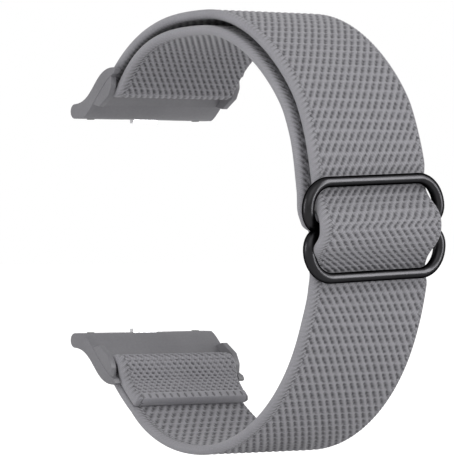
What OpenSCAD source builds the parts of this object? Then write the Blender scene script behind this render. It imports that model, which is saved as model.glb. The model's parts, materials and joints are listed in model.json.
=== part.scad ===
// Elastic nylon watch strap: one woven strip, a figure-8 slider and two slide-in lugs.
// X runs across the strap, +Y points from the wrist to the watch face, +Z to twelve o'clock.
// The origin lies midway between the two slide tongues, where the watch sits.

/* [Webbing] */
// Width of the webbing
webbing_w = 23; // [20:0.5:24]
// Thickness of the webbing
webbing_t = 1.6; // [1.3:0.1:1.7]
// Gap between the two layers along the far wall
layer_gap = 1; // [0.8:0.1:1.1]

/* [Loop] */
// Distance from the slide tongues to the webbing behind the slider
loop_depth = 62.2; // [61:0.2:64]
// Height of the highest point of the loop above its middle
top_h = 34.8; // [34:0.2:36]
// Drop of the lowest point of the loop below its middle
bottom_h = 36.9; // [36.1:0.2:38.1]
// Distance from the slide tongues to the highest point of the loop
top_y = 32.8; // [32:0.4:34]
// Distance from the slide tongues to the lowest point of the loop
bottom_y = 30.9; // [30:0.3:33]
// Radius of the far wall that the slider travels along
wall_r = 45; // [44:0.5:47]
// Length of the sewn tab inside the lower end, as a share of the lower end run
tab_share = 0.42; // [0.34:0.02:0.46]

/* [Slider] */
// Gap between the webbing's edges and the wires at the slider's sides
slider_gap = 1.4; // [1.3:0.1:3]
// Outer height of the slider
slider_h = 16.9; // [16:0.1:18]
// Diameter of the slider's wire
wire_d = 1.6; // [1.3:0.1:1.8]
// Diameter of the slider's centre bar
bar_d = 1.3; // [1:0.1:1.5]
// Radius of the slider's outer corners, at the middle of the wire
corner_r = 4.5; // [4:0.1:4.8]
// How far the necks and the centre bar lie behind the front wires
bar_setback = 0.8; // [0.4:0.1:1.2]
// Travel of the slider each way along the far wall, in degrees
slider_travel = 8; // [4:1:8]

/* [Lugs] */
// Width of each ear at a lug's ends
ear_w = 1.15; // [1.1:0.05:1.5]
// Widening of the webbing on each side where it turns round a lug's pin
lug_flare = 0.85; // [0.4:0.05:1]
// Distance between the axes of the two slide tongues
lug_span = 39; // [36:0.5:42]
// Thickness of the slide tongue
tongue_t = 2.5; // [2.4:0.1:2.8]
// Diameter of the cross pin
pin_d = 1.2; // [1:0.1:1.3]
// Distance of the cross pin from the tongue, towards the wrist
pin_y = 9.1; // [8.9:0.1:9.5]
// Distance of the cross pin from the tongue, along the loop's height
pin_z = 4.45; // [4.3:0.05:4.7]
// Thickness of the end wall that closes the pin's hole
end_wall = 0.45; // [0.4:0.05:0.6]

/* [Latch] */
// Travel of the sprung latch
latch_travel = 0.6; // [0.4:0.1:0.7]
// Length of the latch's nose along the tongue
latch_l = 5; // [4:0.5:6]
// Width of the latch's nose
latch_w = 1; // [0.8:0.1:1]
// Thickness of the retainer plate
plate_t = 0.4; // [0.3:0.05:0.45]
// Outer diameter of each latch spring
spring_d = 1.2; // [1:0.1:1.3]
// Diameter of each retainer screw's shank
screw_d = 0.8; // [0.6:0.1:0.9]
// Diameter of each friction pad
pad_d = 1.3; // [1.1:0.1:1.5]
// Height that each friction pad stands proud
pad_proud = 0.12; // [0.05:0.01:0.2]

/* [Stitching] */
// Distance from one stitch to the next
stitch_pitch = 1.5; // [1.3:0.1:2.4]
// Length of each stitch
stitch_l = 1; // [0.8:0.1:1.4]
// Thickness of the stitching thread
thread_d = 0.3; // [0.25:0.05:0.4]

/* [Hidden] */
$fn = 48;
metal = "slategray";
steel = "silver";
cloth = "gray";
thread = "dimgray";
dark = "black";

// Fits
fit = 0.05;          // between the webbing and what it wraps
pass = 0.1;          // between the webbing and the slider wires it passes
side_gap = 0.3;      // between the webbing's edges and the lug's ears
pocket_gap = 0.3;    // between the pin loop and the lug
hole_gap = 0.02;     // round a shank or a pin in its hole
cut = 1;             // by which a hole's cutter starts outside the surface
overlap = 0.01;      // by which one solid runs into the next

// Places worked out from the sizes above, as [y, z] points
half_t = webbing_t / 2;
tongue_z = lug_span / 2;
pin_at = [-pin_y, tongue_z + pin_z];
pin_r = pin_d / 2;
loop_r = pin_r + fit + half_t;
loop_out_r = loop_r + half_t;
wall_c = -loop_depth + wall_r;
inner_r = wall_r - webbing_t - layer_gap;
top_at = [-top_y, top_h];
inner_shift = 0.1;
inner_top_at = top_at - [inner_shift, webbing_t + layer_gap];
bottom_at = [-bottom_y, -bottom_h];
slider_w = webbing_w + 2 * (slider_gap + wire_d);
loop_w = webbing_w + 2 * lug_flare;
lug_l = loop_w + 2 * (side_gap + ear_w);

// Slider: its wires lie in one plane, with the centre bar a little behind them
wire_r = wire_d / 2;
bar_r = bar_d / 2;
front_z = slider_h / 2 - wire_r;
slider_y = wall_c - sqrt(wall_r * wall_r - front_z * front_z) - half_t - wire_r - pass;
bar_y = slider_y + bar_setback;
bar_at = [bar_y, 0];
tail_r = bar_r + fit + half_t;
side_x = slider_w / 2 - wire_r;
side_z = front_z - corner_r;
neck_merge = 0.45;   // share of the wire's radius by which the two rings run together
neck_r = side_z - (1 - neck_merge) * wire_r;
neck_turn = asin(bar_setback / neck_r);
neck_x = side_x - neck_r * cos(neck_turn);
tail_w = min(webbing_w, 2 * (neck_x - wire_r * sin(neck_turn) - side_gap));

// Angles on the far wall, in degrees from the slider
wave_end = asin((slider_h / 2 + half_t) / wall_r);
run_start = wave_end + slider_travel + 1;
curve_start = 25;
tail_end = 5;

// Directions in which the webbing leaves the pins
outer_lead = 40.5;
inner_lead = 215;

// Lengths of the curves' hooks at the wall, on both sides of the crown, and at the pin
outer_wall_hook = 5;
outer_top_hook = 13.1;
outer_crown_hook = 14;
outer_pin_hook = 9.2;
inner_wall_hook = 4.4;
inner_top_hook = 11.6;
inner_crown_hook = 10.65;
inner_pin_hook = 9.5;
lower_wall_hook = 11.8;
lower_bottom_hook = 11.5;
lower_crown_hook = 14;
lower_pin_hook = 5.5;

// Lug: ears, boss and pocket round the pin
ear_in = loop_w / 2 + side_gap;
boss_wall = 0.7;
ear_boss_r = pin_r + boss_wall;
pocket_r = loop_out_r + pocket_gap;
pocket_out = 6;      // from the pin to the pocket's open end
nose_r = tongue_t / 2;
tongue_in = tongue_z - nose_r;

// Latch, its pocket in the tongue, and the retainer plate below it
latch_y = -1;
flange_t = 0.5;
flange_w = 1.5;
flange_out = 0.9;    // by which the flange is longer than the nose at each end
flange_l = latch_l + 2 * flange_out;
pocket_side = 0.1;
pocket_end = 0.3;
pocket_w = flange_w + 2 * pocket_side;
pocket_l = flange_l + 2 * pocket_end;
pocket_roof = 0.9;   // height of the pocket's roof above the tongue's axis
roof_z = tongue_z + pocket_roof;
seat_z = tongue_in + plate_t;
screw_l = 1.4;
head_d = 1.2;
head_t = plate_t / 2;
head_gap = 0.45;     // between the pocket's end and a screw's head
screw_x = pocket_l / 2 + head_gap + head_d / 2;
plate_w = pocket_w;
plate_margin = 0.35;
plate_l = 2 * (screw_x + head_d / 2 + plate_margin);
spring_inset = 0.1;
spring_x = flange_l / 2 - spring_inset - spring_d / 2;
spring_wall = 0.25;
pad_from_end = 2.6;
pad_x = lug_l / 2 - pad_from_end;
pad_deep = 0.8;

// Stitches
stitch_w = 2 * thread_d;
tail_stitch_at = 0.35;   // share of the tail's lead at which its stitches lie
tab_stitch_in = 0.035;   // share of the lower rise from the tab's end to its stitches
stitch_rise = 0.02;      // by which a straight stitch clears the curved webbing under it

// Helpers for flat [y, z] points; a mark is a point with its direction, as [y, z, ty, tz]
function unit(v) = v / norm(v);
function flip(v) = [v[0], -v[1]];
function mark(p, t) = [p[0], p[1], t[0], t[1]];
function on_circle(c, r, a) = c + r * [cos(a), sin(a)];
function curve_at(p, u) =
    pow(1 - u, 3) * p[0] + 3 * pow(1 - u, 2) * u * p[1]
    + 3 * (1 - u) * u * u * p[2] + pow(u, 3) * p[3];
function curve_way(p, u) =
    unit(pow(1 - u, 2) * (p[1] - p[0]) + 2 * (1 - u) * u * (p[2] - p[1])
    + u * u * (p[3] - p[2]));
function curve_run(p, u0, u1, n) =
    [for (i = [0:n]) let (u = u0 + (u1 - u0) * i / n) mark(curve_at(p, u), curve_way(p, u))];
function arc_run(c, r, a0, a1, n) =
    let (s = a1 > a0 ? 1 : -1)
    [for (i = [0:n]) let (a = a0 + (a1 - a0) * i / n)
        mark(on_circle(c, r, a), s * [-sin(a), cos(a)])];
function curve_points(p, n) = [for (i = [0:n]) curve_at(p, i / n)];

// Routes of the webbing's middle line, each from the slider's side to the pin
wall_mid = [wall_c, 0];
function wall_point(r, a) = on_circle(wall_mid, r, 180 - a);
function wall_way(a) = [sin(a), cos(a)];
function lead_point(a) = on_circle(pin_at, loop_r, a);
function lead_way(a) = [-sin(a), cos(a)];
outer_rise = [
    wall_point(wall_r, curve_start),
    wall_point(wall_r, curve_start) + outer_wall_hook * wall_way(curve_start),
    top_at - [outer_top_hook, 0],
    top_at
];
outer_fall = [
    top_at,
    top_at + [outer_crown_hook, 0],
    lead_point(outer_lead) + outer_pin_hook * lead_way(outer_lead),
    lead_point(outer_lead)
];
inner_rise = [
    wall_point(inner_r, curve_start),
    wall_point(inner_r, curve_start) + inner_wall_hook * wall_way(curve_start),
    inner_top_at - [inner_top_hook, 0],
    inner_top_at
];
inner_fall = [
    inner_top_at,
    inner_top_at + [inner_crown_hook, 0],
    lead_point(inner_lead) - inner_pin_hook * lead_way(inner_lead),
    lead_point(inner_lead)
];
lower_drop = [
    wall_point(wall_r, -curve_start),
    wall_point(wall_r, -curve_start) + lower_wall_hook * flip(wall_way(curve_start)),
    bottom_at - [lower_bottom_hook, 0],
    bottom_at
];
lower_rise = [
    bottom_at,
    bottom_at + [lower_crown_hook, 0],
    flip(lead_point(outer_lead) + lower_pin_hook * lead_way(outer_lead)),
    flip(lead_point(outer_lead))
];
curve_in = 0.1;      // share of a curve at which its first mark lies
bend_from = 0.8;     // share of the drop at which the flexing bottom starts
bend_to = 0.2;       // share of the rise at which it ends
tab_join = 0.8;      // share of the rise at which the tab lies flat on it
tab_from = tab_join - tab_share / 2;

// Tail: the lead from the inner run down to the slider's bar
lead_depth = 1.6;    // how far the tail's lead stands behind its turn, towards the wrist
lead_slope = [0.25, 1];
slack_hook = 4;
lead_hook = 1.5;
bar_hook = 1.2;
tail_wrap = 285;     // angle of the tail's turn round the bar
lead_top = [bar_y + tail_r + lead_depth, wall_r * sin(tail_end)];
inner_slack = [
    wall_point(inner_r, run_start),
    wall_point(inner_r, run_start) - slack_hook * wall_way(run_start),
    lead_top + slack_hook * lead_slope,
    lead_top
];
tail_lead = [
    lead_top,
    lead_top - lead_hook * lead_slope,
    [bar_y + tail_r, bar_hook],
    [bar_y + tail_r, 0]
];

// Wave: under a front wire, out over the centre bar, and under the other wire
wave_top_y = bar_y - tail_r - half_t - pass - half_t;
dive_in = 0.2;       // from the front wire to where the wave turns outwards
dive_hook = 3.4;
wave_hook = 3.2;
dive = asin((front_z - wire_r - dive_in) / wall_r);
wave_half = [
    wall_point(wall_r, dive),
    wall_point(wall_r, dive) - dive_hook * wall_way(dive),
    [wave_top_y, wave_hook],
    [wave_top_y, 0]
];

// Tab: folds back from the lower pin and lies flat on the lower end
tab_shift = webbing_t + fit;
tab_hook = 1.2;
function tab_point(u) =
    let (p = curve_at(lower_rise, u), w = curve_way(lower_rise, u)) p + tab_shift * [-w[1], w[0]];
tab_fold = [
    flip(lead_point(inner_lead)),
    flip(lead_point(inner_lead) - tab_hook * lead_way(inner_lead)),
    tab_point(tab_join) + tab_hook * curve_way(lower_rise, tab_join),
    tab_point(tab_join)
];

// Turns a flat [y, z] outline into a solid of width w across the strap
module across(w) {
    rotate([90, 0, 90])
        translate([0, 0, -w / 2])
            linear_extrude(w) children();
}

// A strip of webbing that follows a route of marks
module strip(route, w) {
    outer = [for (m = route) [m[0], m[1]] + half_t * [-m[3], m[2]]];
    inner = [for (i = [len(route) - 1:-1:0]) let (m = route[i]) [m[0], m[1]] - half_t * [-m[3], m[2]]];
    across(w) polygon(concat(outer, inner));
}

// The webbing's turn round a bar, between two angles
module turn(c, r, a0, a1, w) {
    steps = ceil(abs(a1 - a0) / 10);
    outer = [for (i = [0:steps]) on_circle(c, r + half_t, a0 + (a1 - a0) * i / steps)];
    inner = [for (i = [steps:-1:0]) on_circle(c, r - half_t, a0 + (a1 - a0) * i / steps)];
    across(w) polygon(concat(outer, inner));
}

module at_lower() {
    mirror([0, 0, 1]) children();
}

module both_ends() {
    children();
    mirror([1, 0, 0]) children();
}

// Lug section: tongue and S-shaped band
hood_back = 2.1;     // from the pin's axis back to the hood's edge
hood_up = 2.75;
tip_back = 2.5;
tip_up = 2.45;
lip_up = 1.75;
top_bend = 5.5;      // how far out the band's outer side bends
top_rise = 0.15;
hood_rise = 0.2;
under_bend = 8.2;    // how far out its inner side bends
under_rise = 5.4;
foot_bend = 4.6;
foot_drop = 0.3;
foot_land = 0.35;    // from the latch pocket to where the inner side starts to rise
ear_step = 0.1;      // by which the ears stand back from the band's ends
ear_back = 0.4;      // from the pin to the ear's corner behind it, and how far below
ear_drop = 2.05;
ear_out = 6.8;       // from the tongue's axis to the ear's corner nearest it, and how far above
ear_rise = 0.7;
ear_from = 0.1;      // shares of the inner side between which an ear leaves the band
ear_to = 0.65;
hood_top = [-pin_y - hood_back, pin_at[1] + hood_up];
band_tip = [-pin_y - tip_back, pin_at[1] + tip_up];
band_lip = [-pin_y - hood_back, pin_at[1] + lip_up];
outer_side = [
    [0, tongue_z + nose_r],
    [-top_bend, tongue_z + nose_r + top_rise],
    [-top_bend, hood_top[1] + hood_rise],
    hood_top
];
inner_side = [
    band_lip,
    [-under_bend, tongue_z + under_rise],
    [-foot_bend, tongue_z - foot_drop],
    [latch_y - pocket_w / 2 - foot_land, tongue_in]
];

module band_section() {
    polygon(concat(curve_points(outer_side, 20), [band_tip], curve_points(inner_side, 20), [[0, tongue_in]]));
    translate([0, tongue_z]) circle(r = nose_r);
}

module ears() {
    both_ends()
        translate([ear_in, 0, 0])
            rotate([90, 0, 90])
                linear_extrude(lug_l / 2 - ear_in - ear_step)
                    hull() {
                        translate(pin_at) circle(r = ear_boss_r);
                        polygon([
                            pin_at - [ear_back, ear_drop],
                            [-ear_out, tongue_z + ear_rise],
                            curve_at(inner_side, ear_to),
                            curve_at(inner_side, ear_from)
                        ]);
                    }
}

// Room for the webbing's turn, open towards the loop
module lug_pocket() {
    translate(pin_at) {
        circle(r = pocket_r);
        rotate(outer_lead)
            translate([-pocket_r, 0])
                square([2 * pocket_r, pocket_out]);
    }
}

module latch_pocket() {
    translate([-pocket_l / 2, latch_y - pocket_w / 2, tongue_in + plate_t - overlap])
        cube([pocket_l, pocket_w, roof_z - tongue_in - plate_t + overlap]);
    translate([-plate_l / 2 - fit, latch_y - plate_w / 2 - fit, tongue_in - cut])
        cube([plate_l + 2 * fit, plate_w + 2 * fit, plate_t + cut]);
}

module tongue_holes() {
    both_ends() {
        translate([screw_x, latch_y, tongue_in])
            cylinder(d = screw_d + 2 * hole_gap, h = plate_t + screw_l);
        translate([pad_x, latch_y, tongue_in - cut])
            cylinder(d = pad_d + 2 * hole_gap, h = pad_deep + cut);
    }
}

module upper_lug_body() {
    color(metal)
        difference() {
            union() {
                across(lug_l) band_section();
                ears();
            }
            across(2 * ear_in) lug_pocket();
            across(lug_l - 2 * end_wall) translate(pin_at) circle(r = pin_r + hole_gap);
            latch_pocket();
            tongue_holes();
        }
}

module upper_cross_pin() {
    color(steel)
        across(lug_l - 2 * end_wall - 2 * hole_gap) translate(pin_at) circle(r = pin_r);
}

module upper_latch() {
    color(steel) {
        translate([-flange_l / 2, latch_y - flange_w / 2, seat_z])
            cube([flange_l, flange_w, flange_t]);
        translate([-latch_l / 2, latch_y - latch_w / 2, tongue_in - latch_travel])
            cube([latch_l, latch_w, latch_travel + plate_t + overlap]);
    }
}

module upper_latch_springs() {
    free = roof_z - seat_z - flange_t;
    color(steel)
        both_ends()
            translate([spring_x, latch_y, seat_z + flange_t])
                difference() {
                    cylinder(d = spring_d, h = free);
                    translate([0, 0, -overlap])
                        cylinder(d = spring_d - 2 * spring_wall, h = free + 2 * overlap);
                }
}

module upper_retainer_plate() {
    color(steel)
        difference() {
            translate([-plate_l / 2, latch_y - plate_w / 2, tongue_in])
                cube([plate_l, plate_w, plate_t]);
            translate([-latch_l / 2 - fit, latch_y - latch_w / 2 - fit, tongue_in - cut])
                cube([latch_l + 2 * fit, latch_w + 2 * fit, plate_t + 2 * cut]);
            both_ends()
                translate([screw_x, latch_y, tongue_in - cut]) {
                    cylinder(d = screw_d + 2 * hole_gap, h = plate_t + 2 * cut);
                    cylinder(d = head_d + 2 * hole_gap, h = head_t + cut);
                }
        }
}

module upper_retainer_screws() {
    color(dark)
        both_ends()
            translate([screw_x, latch_y, tongue_in]) {
                cylinder(d = head_d, h = head_t);
                cylinder(d = screw_d, h = plate_t + screw_l - hole_gap);
            }
}

module upper_friction_pads() {
    color(dark)
        both_ends()
            translate([pad_x, latch_y, tongue_in - pad_proud])
                cylinder(d = pad_d, h = pad_deep + pad_proud);
}

module lower_lug_body() {
    at_lower() upper_lug_body();
}

module lower_cross_pin() {
    at_lower() upper_cross_pin();
}

module lower_latch() {
    at_lower() upper_latch();
}

module lower_latch_springs() {
    at_lower() upper_latch_springs();
}

module lower_retainer_plate() {
    at_lower() upper_retainer_plate();
}

module lower_retainer_screws() {
    at_lower() upper_retainer_screws();
}

module lower_friction_pads() {
    at_lower() upper_friction_pads();
}

// Slider: two rings of wire that run together at the necks, with the centre bar between them
module wire_bend(r) {
    rotate([90, 0, 0])
        rotate_extrude(angle = 90)
            translate([r, 0]) circle(r = wire_r);
}

module ring_side() {
    translate([side_x - corner_r, slider_y, side_z]) wire_bend(corner_r);
    translate([side_x, slider_y, side_z])
        rotate([0, 0, -neck_turn])
            translate([-neck_r, 0, 0])
                rotate([0, 90, 0]) wire_bend(neck_r);
}

module slider_frame() {
    front_l = 2 * (side_x - corner_r + overlap);
    bar_l = 2 * (neck_x + bar_r);
    color(dark) {
        both_ends() {
            ring_side();
            at_lower() ring_side();
        }
        for (z = [-front_z, front_z])
            translate([-front_l / 2, slider_y, z])
                rotate([0, 90, 0])
                    cylinder(r = wire_r, h = front_l);
        translate([-bar_l / 2, bar_y, 0])
            rotate([0, 90, 0])
                cylinder(r = bar_r, h = bar_l);
    }
}

module slider_tail_loop() {
    color(cloth) {
        strip(curve_run(tail_lead, 0, 1, 6), tail_w);
        turn(bar_at, tail_r, 0, -tail_wrap, tail_w);
    }
}

module slider_webbing_wave() {
    upper = concat(
        arc_run(wall_mid, wall_r, 180 - wave_end, 180 - dive, 3),
        curve_run(wave_half, curve_in, 1, 12)
    );
    lower = [for (i = [len(upper) - 2:-1:0]) let (m = upper[i]) [m[0], -m[1], -m[2], m[3]]];
    color(cloth)
        strip(concat(upper, lower), webbing_w);
}

module webbing_inner_run() {
    color(cloth)
        strip(concat(
            arc_run(wall_mid, inner_r, 180 - run_start, 180 - curve_start, 2),
            curve_run(inner_rise, curve_in, 1, 12),
            curve_run(inner_fall, curve_in, 1, 10)
        ), webbing_w);
}

module webbing_inner_slack() {
    color(cloth)
        strip(curve_run(inner_slack, 0, 1, 8), webbing_w);
}

module webbing_upper_pin_loop() {
    color(cloth)
        turn(pin_at, loop_r, outer_lead, inner_lead - 360, loop_w);
}

module webbing_outer_run() {
    color(cloth)
        strip(concat(
            arc_run(wall_mid, wall_r, 180 - run_start, 180 - curve_start, 2),
            curve_run(outer_rise, curve_in, 1, 12),
            curve_run(outer_fall, curve_in, 1, 10)
        ), webbing_w);
}

module webbing_upper_slack() {
    color(cloth)
        strip(arc_run(wall_mid, wall_r, 180 - wave_end, 180 - run_start, 4), webbing_w);
}

module webbing_lower_slack() {
    color(cloth)
        strip(arc_run(wall_mid, wall_r, 180 + wave_end, 180 + run_start, 4), webbing_w);
}

module webbing_lower_run() {
    color(cloth)
        strip(concat(
            arc_run(wall_mid, wall_r, 180 + run_start, 180 + curve_start, 2),
            curve_run(lower_drop, curve_in, bend_from, 10)
        ), webbing_w);
}

module webbing_bottom_bend() {
    color(cloth)
        strip(concat(
            curve_run(lower_drop, bend_from, 1, 4),
            curve_run(lower_rise, bend_to / 4, bend_to, 3)
        ), webbing_w);
}

module webbing_lower_end() {
    color(cloth)
        strip(curve_run(lower_rise, bend_to, 1, 12), webbing_w);
}

module webbing_lower_pin_loop() {
    at_lower() webbing_upper_pin_loop();
}

module webbing_sewn_tab() {
    flat = [for (i = [1:5]) let (u = tab_join + (tab_from - tab_join) * i / 5)
        mark(tab_point(u), -curve_way(lower_rise, u))];
    color(cloth)
        strip(concat(curve_run(tab_fold, 0, 1, 8), flat), loop_w);
}

// A row of stitches across the strap, each lying along the webbing's way at one point
module stitch_row(at, way, w) {
    count = floor(w / stitch_pitch);
    color(thread)
        for (i = [0:count - 1])
            translate([(i - (count - 1) / 2) * stitch_pitch, at[0], at[1]])
                rotate([atan2(way[1], way[0]), 0, 0])
                    translate([-stitch_w / 2, -stitch_l / 2, stitch_rise])
                        cube([stitch_w, stitch_l, thread_d]);
}

module slider_tail_stitches() {
    p = curve_at(tail_lead, tail_stitch_at);
    w = curve_way(tail_lead, tail_stitch_at);
    stitch_row(p + half_t * [-w[1], w[0]], w, tail_w);
}

module tab_stitches() {
    u = tab_from + tab_stitch_in;
    w = curve_way(lower_rise, u);
    stitch_row(tab_point(u) + half_t * [-w[1], w[0]], w, webbing_w);
}

upper_lug_body();
upper_cross_pin();
upper_latch();
upper_latch_springs();
upper_retainer_plate();
upper_retainer_screws();
upper_friction_pads();
lower_lug_body();
lower_cross_pin();
lower_latch();
lower_latch_springs();
lower_retainer_plate();
lower_retainer_screws();
lower_friction_pads();
slider_frame();
slider_tail_loop();
slider_tail_stitches();
slider_webbing_wave();
webbing_inner_run();
webbing_inner_slack();
webbing_upper_pin_loop();
webbing_outer_run();
webbing_upper_slack();
webbing_lower_slack();
webbing_lower_run();
webbing_bottom_bend();
webbing_lower_end();
webbing_lower_pin_loop();
webbing_sewn_tab();
tab_stitches();
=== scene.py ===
"""Looks of an elastic nylon watch strap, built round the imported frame. Run as a script."""
import json
import math

import bmesh
import bpy
import numpy as np
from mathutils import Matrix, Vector


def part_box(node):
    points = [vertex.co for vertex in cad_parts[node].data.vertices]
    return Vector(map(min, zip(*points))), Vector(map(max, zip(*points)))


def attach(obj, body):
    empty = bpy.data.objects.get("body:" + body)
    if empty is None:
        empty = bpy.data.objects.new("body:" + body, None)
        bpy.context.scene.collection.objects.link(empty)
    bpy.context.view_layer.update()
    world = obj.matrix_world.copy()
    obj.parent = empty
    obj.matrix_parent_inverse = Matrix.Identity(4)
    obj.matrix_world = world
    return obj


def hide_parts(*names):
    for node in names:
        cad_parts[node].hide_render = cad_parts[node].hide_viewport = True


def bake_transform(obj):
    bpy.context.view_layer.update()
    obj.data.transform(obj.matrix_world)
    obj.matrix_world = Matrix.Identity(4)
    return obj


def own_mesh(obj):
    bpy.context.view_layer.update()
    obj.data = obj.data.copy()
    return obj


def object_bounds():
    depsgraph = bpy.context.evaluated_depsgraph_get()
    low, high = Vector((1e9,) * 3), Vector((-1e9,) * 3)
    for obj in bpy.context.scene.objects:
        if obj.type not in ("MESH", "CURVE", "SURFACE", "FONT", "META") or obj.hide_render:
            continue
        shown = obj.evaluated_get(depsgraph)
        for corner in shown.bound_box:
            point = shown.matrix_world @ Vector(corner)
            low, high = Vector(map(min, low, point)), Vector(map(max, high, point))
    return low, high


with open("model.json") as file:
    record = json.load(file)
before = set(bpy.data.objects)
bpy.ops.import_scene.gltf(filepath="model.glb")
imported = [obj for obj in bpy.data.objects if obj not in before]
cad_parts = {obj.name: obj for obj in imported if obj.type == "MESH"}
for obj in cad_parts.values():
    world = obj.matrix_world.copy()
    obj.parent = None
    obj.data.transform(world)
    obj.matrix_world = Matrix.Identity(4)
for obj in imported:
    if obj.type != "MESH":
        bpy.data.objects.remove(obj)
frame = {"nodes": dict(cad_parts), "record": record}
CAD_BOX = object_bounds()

bl_info = {
    "name": "Woven Watch Strap",
    "version": (1, 0, 0),
    "blender": (4, 5, 0),
    "location": "3D View > Sidebar > Strap",
    "description": "Builds an elastic woven watch strap with a wire slider and two slide-in lugs",
    "category": "Object",
}

MM = 0.001
FRAME_SIZE = (454, 461)      # pixels of the picture that the camera frames
FOCAL_PIXELS = 4060          # focal length in those pixels
EYE = (36.5, 0.7)            # turn round the strap in degrees, and distance in metres
AIM = (0.015, -0.00078)      # where the camera aims: to the right of the origin, and up
LAMP_AIM = (0, -0.03, 0)     # where every lamp aims
FLOOR_REACH = 3.0            # from the origin to the floor's edges, in metres


# Settings


def number(name, description, default, **limits):
    return bpy.props.FloatProperty(name=name, description=description, default=default, **limits)


def length(name, description, metres):
    return number(name, description, metres, min=0, precision=5, subtype="DISTANCE", unit="LENGTH")


def turn(name, description, degrees):
    return number(name, description, math.radians(degrees), subtype="ANGLE", unit="ROTATION")


def share(name, description, value):
    return number(name, description, value, min=0, max=4, subtype="FACTOR")


def power(name, description, watts):
    return number(name, description, watts, min=0, unit="POWER")


def colour(name, description, default):
    return bpy.props.FloatVectorProperty(
        name=name, description=description, default=default, min=0, max=1, size=3, subtype="COLOR"
    )


def held(kind, name, description):
    return bpy.props.PointerProperty(type=kind, name=name, description=description)


def grey(value, tint=0.0):
    """The linear colour of an eight-bit grey, made a little bluer by tint."""
    def linear(x):
        x = x / 255
        return x / 12.92 if x <= 0.04045 else ((x + 0.055) / 1.055) ** 2.4
    return (linear(value), linear(value - tint * 0.25), linear(value + tint))


class WebbingSettings(bpy.types.PropertyGroup):
    width: length("Width", "Width of the webbing", 0.023)
    thickness: length("Thickness", "Thickness of the webbing", 0.0016)
    layer_gap: length("Layer gap", "Gap between the two layers along the far wall", 0.001)
    flare: length("Flare", "Widening on each side where the webbing turns round a pin", 0.00085)
    spread: length("Spread", "Widening on the near side, inside the slider", 0.0016)
    fullness: length("Fullness", "Widening on the far side below the slider", 0.0009)
    selvedge: length("Selvedge", "Width of the border along one edge", 0.0014)
    far_selvedge: length("Far selvedge", "Width of the border along the other edge", 0.0007)
    outer_column: length("Outer column", "From cord to cord across the outer face", 0.00136)
    outer_row: length("Outer row", "From pit to pit along the outer face", 0.00178)
    inner_column: length("Inner column", "Cord to cord across the doubled layer's inside", 0.00118)
    inner_row: length("Inner row", "Pit to pit along the doubled layer's inside", 0.0012)
    back_column: length("Back column", "Cord to cord across the single layer's inside", 0.0015)
    tab_column: length("Tab column", "From bump to bump across the tab", 0.00115)
    tab_row: length("Tab row", "From bump to bump along the tab", 0.0007)
    dash: length("Dash", "From one slanting yarn to the next", 0.0013)
    relief: length("Relief", "Depth of the pits between the cords", 0.00034)
    step: length("Step", "Spacing of the mesh along the webbing", 0.00017)
    light: colour("Yarn", "Colour of the yarns' crowns", grey(148, 4))
    # The pits' colour is painted shade: the yarns' colour is mixed towards it where the weave lies
    # deep
    dark: colour("Pits", "Colour between the yarns", grey(88, 3))


class LoopSettings(bpy.types.PropertyGroup):
    depth: length("Depth", "From the slide tongues to the webbing behind the slider", 0.0622)
    top: length("Top height", "Height of the highest point above the middle", 0.0348)
    bottom: length("Bottom drop", "Drop of the lowest point below the middle", 0.0369)
    top_place: length("Top place", "From the slide tongues to the highest point", 0.0328)
    bottom_place: length("Bottom place", "From the slide tongues to the lowest point", 0.0309)
    wall_radius: length("Wall radius", "Radius of the far wall", 0.045)
    tab: share("Tab", "Length of the sewn tab as a share of the lower end", 0.42)


class SliderSettings(bpy.types.PropertyGroup):
    gap: length("Side gap", "Between the webbing's edges and the wires", 0.0014)
    height: length("Height", "Outer height of the slider", 0.0169)
    wire: length("Wire", "Diameter of the wire", 0.0016)
    plating: length("Plating", "How far the polished plating stands over the wire", 0.00007)
    swell: length("Swell", "How much thicker the wire is at the slider's sides", 0.0003)
    bar: length("Bar", "Diameter of the centre bar", 0.0013)
    corner: length("Corner", "Radius of the outer corners", 0.0045)
    setback: length("Setback", "How far the bar lies behind the front wires", 0.0008)
    lean: turn("Lean", "How far the slider leans across the webbing", 2.3)
    drop: length("Drop", "How far the slider has slipped down", 0.0003)
    metal: colour("Metal", "Colour of the slider's metal", grey(38, 1))


class LugSettings(bpy.types.PropertyGroup):
    span: length("Span", "Between the axes of the two slide tongues", 0.039)
    pin: length("Pin", "Diameter of the cross pin", 0.0012)
    pin_back: length("Pin place", "From the tongue to the pin, towards the wrist", 0.0091)
    pin_up: length("Pin height", "From the tongue to the pin, along the loop's height", 0.00445)
    edge: length("Edge", "Rounding of the lug's edges", 0.0009)
    paint: colour("Paint", "Colour of the lug's satin paint", grey(112, 3))
    steel: colour("Steel", "Colour of the pins and latches", grey(176, 2))
    screw: colour("Screw", "Colour of the screws", grey(52, 1))
    pad: colour("Pad", "Colour of the friction pads", grey(44, 1))


class StitchSettings(bpy.types.PropertyGroup):
    pitch: length("Pitch", "From one stitch to the next", 0.0015)
    length: length("Length", "Length of a stitch", 0.001)
    thread: length("Thread", "Thickness of the thread", 0.0003)
    dye: colour("Thread colour", "Colour of the thread", grey(120, 3))


class StageSettings(bpy.types.PropertyGroup):
    key: power("Key", "Power of the large lamp", 2.5)
    sky: share("Sky", "Strength of the soft light all round", 0.68)
    strip: power("Gloss strips", "Power of the tall lamps that gloss shows", 18.0)
    glow: share("Floor glow", "How far the floor is white to the camera, over its shadow", 0.45)
    drop: length("Floor drop", "From the loop down to the floor, so that it can swing", 0.004)
    floor: colour("Floor", "Colour of the floor", (1.0, 1.0, 1.0))


def settings():
    return bpy.context.scene.strap


# Route of the webbing: points [y, z] are complex numbers y + iz, in millimetres


def way(degrees):
    return np.exp(1j * np.radians(degrees))


def arc(centre, radius, start, end):
    count = max(12, int(abs(end - start) * 4))
    return centre + radius * way(np.linspace(start, end, count))


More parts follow.
